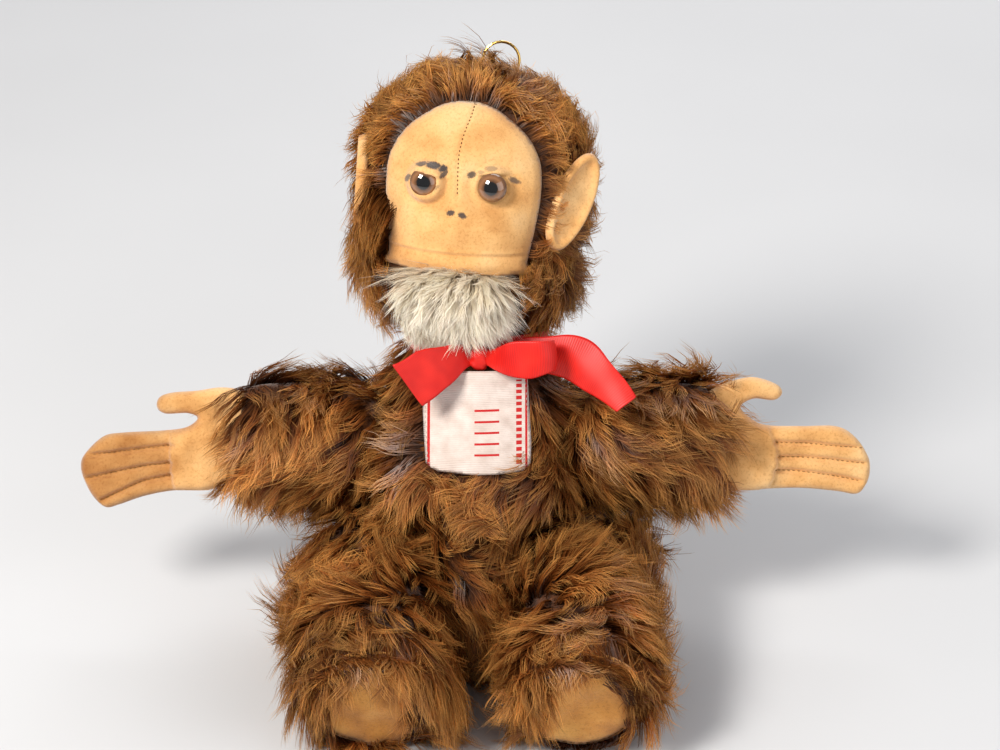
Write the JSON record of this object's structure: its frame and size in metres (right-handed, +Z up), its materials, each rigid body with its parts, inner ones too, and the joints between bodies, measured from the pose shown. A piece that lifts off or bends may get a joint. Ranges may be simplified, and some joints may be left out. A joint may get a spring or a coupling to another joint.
{
  "type": "stuffed monkey",
  "caption": "Sitting stuffed monkey in long mohair with felt face, hands, ears and soles, a ribbon bow, a turning head, jointed limbs and a music movement.",
  "frame": {"origin": "on the floor in the middle of the flat seat, straight under the hip axis", "axes": "+Z up, -Y the way it faces, +X towards its own left hand"},
  "size_m": [0.331, 0.2076, 0.2356],
  "materials": {
    "mohair": "long chestnut mohair pile",
    "felt": "peach wool felt",
    "white_mohair": "off-white mohair pile",
    "stuffing": "wood wool and cotton",
    "satin": "red satin ribbon",
    "tape": "cotton tape",
    "label_weave": "woven off-white label",
    "eye_glass": "amber glass with a black pupil",
    "fibreboard": "pressed fibreboard",
    "steel": "bright steel",
    "brass": "brass",
    "tin": "dull tinplate"
  },
  "bodies": {
    "torso": {"body_cover": "mohair", "body_stuffing": "stuffing", "neck_ribbon": "satin", "bow_knot": "satin", "bow_tail_left": "satin", "bow_tail_right": "satin", "bow_loop_left": "satin", "chest_label": "label_weave", "neck_disc_inner": "fibreboard", "left_hip_disc_inner": "fibreboard", "right_hip_disc_inner": "fibreboard", "bedplate": "steel", "mainspring": "steel", "tone_comb": "steel", "comb_screw_1": "steel", "comb_screw_2": "steel", "spring_barrel": "brass", "key_grommet": "brass", "music_case": "tin", "music_case_lid": "tin", "comb_block": "tin", "bearing_lower": "tin", "bearing_upper": "tin", "governor_frame": "tin"},
    "head": {"head_cover": "mohair", "head_stuffing": "stuffing", "face_mask": "felt", "chin_beard": "white_mohair", "left_eye": "eye_glass", "right_eye": "eye_glass", "left_ear": "felt", "right_ear": "felt", "neck_disc_outer": "fibreboard", "neck_pin": "steel", "ring_tape": "tape"},
    "ring": {"hanging_ring": "brass"},
    "arm_left": {"left_sleeve": "mohair", "left_arm_stuffing": "stuffing", "left_hand": "felt"},
    "arm_right": {"right_sleeve": "mohair", "right_arm_stuffing": "stuffing", "right_hand": "felt"},
    "leg_left": {"left_leg_cover": "mohair", "left_leg_stuffing": "stuffing", "left_insole": "fibreboard", "left_sole": "felt", "left_hip_disc_outer": "fibreboard", "left_hip_pin": "steel"},
    "leg_right": {"right_leg_cover": "mohair", "right_leg_stuffing": "stuffing", "right_insole": "fibreboard", "right_sole": "felt", "right_hip_disc_outer": "fibreboard", "right_hip_pin": "steel"},
    "key": {"winding_shaft": "steel", "winding_key": "steel"},
    "cylinder": {"melody_cylinder": "brass"},
    "governor_wheel": {"governor_shaft": "steel"},
    "fly": {"governor_fly": "steel"}
  },
  "joints": [
    {"name": "neck_swivel", "type": "hinge", "parent": "torso", "child": "head", "pos_m": [0, 0.03557, 0.12873], "axis": [0, 0.342, 0.9397], "range_deg": [-90, 90]},
    {"name": "ring_swing", "type": "hinge", "parent": "head", "child": "ring", "pos_m": [0.01, 0.08184, 0.22075], "axis": [1, 0, 0], "range_deg": [-60, 30]},
    {"name": "shoulder_left", "type": "hinge", "parent": "torso", "child": "arm_left", "pos_m": [0.054, 0.01984, 0.0855], "axis": [0, 0.9397, -0.342], "range_deg": [-25, 25]},
    {"name": "shoulder_right", "type": "hinge", "parent": "torso", "child": "arm_right", "pos_m": [-0.054, 0.01984, 0.0855], "axis": [0, -0.9397, 0.342], "range_deg": [-25, 25]},
    {"name": "hip_left", "type": "hinge", "parent": "torso", "child": "leg_left", "pos_m": [0.041, 0, 0.031], "axis": [1, 0, 0], "range_deg": [-20, 70]},
    {"name": "hip_right", "type": "hinge", "parent": "torso", "child": "leg_right", "pos_m": [-0.041, 0, 0.031], "axis": [1, 0, 0], "range_deg": [-20, 70]},
    {"name": "key_spin", "type": "hinge", "parent": "torso", "child": "key", "pos_m": [0, 0.03504, 0.07465], "axis": [0, -0.9397, 0.342], "continuous": true},
    {"name": "cylinder_spin", "type": "hinge", "parent": "torso", "child": "cylinder", "pos_m": [0, 0.0274, 0.09488], "axis": [0, 0.342, 0.9397], "continuous": true},
    {"name": "governor_wheel_spin", "type": "hinge", "parent": "torso", "child": "governor_wheel", "pos_m": [0.00664, 0.02992, 0.10182], "axis": [0, 0.342, 0.9397], "continuous": true},
    {"name": "fly_spin", "type": "hinge", "parent": "torso", "child": "fly", "pos_m": [0.01164, 0.02998, 0.10197], "axis": [0, -0.9397, 0.342], "continuous": true}
  ],
  "couplings": [
    {"joint": "cylinder_spin", "follows": "key_spin", "ratio": 2.4},
    {"joint": "governor_wheel_spin", "follows": "key_spin", "ratio": -7.2},
    {"joint": "fly_spin", "follows": "key_spin", "ratio": 115.2}
  ]
}
